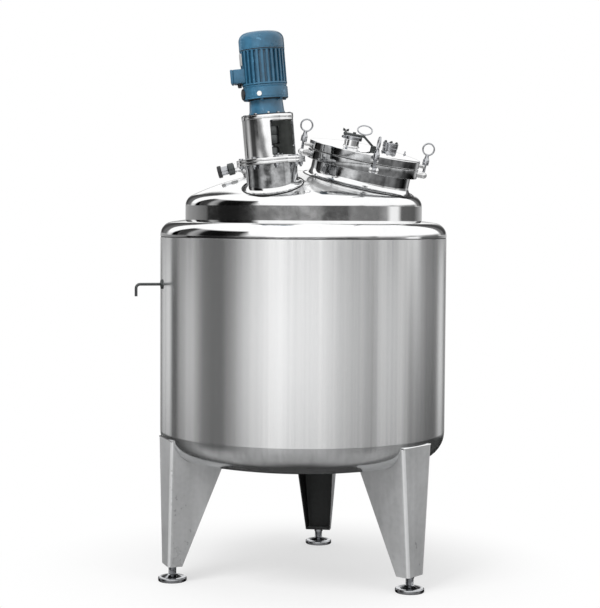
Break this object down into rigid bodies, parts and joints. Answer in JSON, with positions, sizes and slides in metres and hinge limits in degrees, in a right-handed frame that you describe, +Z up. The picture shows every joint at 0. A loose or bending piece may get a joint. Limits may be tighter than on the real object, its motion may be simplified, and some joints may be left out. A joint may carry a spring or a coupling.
{
  "type": "mixing tank",
  "caption": "Insulated stainless mixing tank on plate legs, with a leaning blue gear motor over the agitator and a swing-bolted manway lid.",
  "frame": {"origin": "middle of the bounding box's bottom face, on the floor under the three feet", "axes": "+Z up along the vessel's axis, -Y towards the pictured side, where the agitator stands on the left and the manway on the right"},
  "size_m": [1.3036, 1.232, 2.2589],
  "materials": {
    "polished_steel": "polished",
    "brushed_steel": "satin",
    "satin_steel": "satin",
    "blue_paint": "satin",
    "gasket_rubber": "matte",
    "sight_glass": "gloss",
    "white_plastic": "gloss",
    "black_plastic": "satin"
  },
  "bodies": {
    "tank": {"agitator_neck": "polished_steel", "bottom_outlet": "satin_steel", "cladding_bottom": "brushed_steel", "cladding_shoulder": "polished_steel", "cladding_wall": "brushed_steel", "fan_cowl": "blue_paint", "foot_pad_left": "satin_steel", "foot_pad_rear": "satin_steel", "foot_pad_right": "satin_steel", "foot_stem_left": "satin_steel", "foot_stem_rear": "satin_steel", "foot_stem_right": "satin_steel", "gear_flange": "blue_paint", "lantern": "polished_steel", "lantern_base_flange": "polished_steel", "lantern_top_flange": "polished_steel", "leg_left": "brushed_steel", "leg_rear": "brushed_steel", "leg_right": "brushed_steel", "manway_gasket": "gasket_rubber", "manway_neck": "polished_steel", "manway_ring": "polished_steel", "motor_body": "blue_paint", "neck_flange": "polished_steel", "nozzle_clamp": "satin_steel", "nozzle_end_piece": "black_plastic", "oil_sight": "white_plastic", "reducer": "blue_paint", "seal_housing": "satin_steel", "side_nozzle": "polished_steel", "terminal_box": "blue_paint", "terminal_box_lid": "blue_paint", "top_head": "polished_steel", "vent_elbow": "satin_steel", "vent_pad": "satin_steel", "vessel_bottom": "satin_steel", "vessel_wall": "polished_steel"},
    "agitator": {"agitator_shaft": "satin_steel", "shaft_coupling": "satin_steel", "propeller": "satin_steel"},
    "lid": {"manway_lid": "polished_steel", "hinge_arm": "satin_steel", "lid_port": "polished_steel", "port_cap": "polished_steel", "port_clamp": "satin_steel", "port_bar": "satin_steel", "port_handle": "satin_steel", "sight_glass_frame": "satin_steel", "sight_glass": "sight_glass", "sight_glass_cover": "satin_steel"},
    "bolt_left": {"swing_bolt_left": "satin_steel", "eye_nut_left": "satin_steel"},
    "bolt_front": {"swing_bolt_front": "satin_steel", "eye_nut_front": "satin_steel"},
    "bolt_right": {"swing_bolt_right": "satin_steel", "eye_nut_right": "satin_steel"}
  },
  "joints": [
    {"name": "agitator_spin", "type": "hinge", "parent": "tank", "child": "agitator", "pos_m": [-0.0786, -0.35121, 1.6519], "axis": [-0.0872, 0, 0.9962], "continuous": true},
    {"name": "lid_hinge", "type": "hinge", "parent": "tank", "child": "lid", "pos_m": [0.2567, 0.10842, 1.77553], "axis": [-0.9728, -0.1493, 0.1773], "range_deg": [0, 100]},
    {"name": "bolt_left_swing", "type": "hinge", "parent": "tank", "child": "bolt_left", "pos_m": [0.03608, -0.18815, 1.78746], "axis": [0.1255, -0.9824, -0.1385], "range_deg": [0, 95]},
    {"name": "bolt_front_swing", "type": "hinge", "parent": "tank", "child": "bolt_front", "pos_m": [0.32273, -0.40559, 1.70504], "axis": [0.9728, 0.1493, -0.1773], "range_deg": [0, 95]},
    {"name": "bolt_right_swing", "type": "hinge", "parent": "tank", "child": "bolt_right", "pos_m": [0.54387, -0.11023, 1.69493], "axis": [-0.1255, 0.9824, 0.1385], "range_deg": [0, 95]}
  ]
}
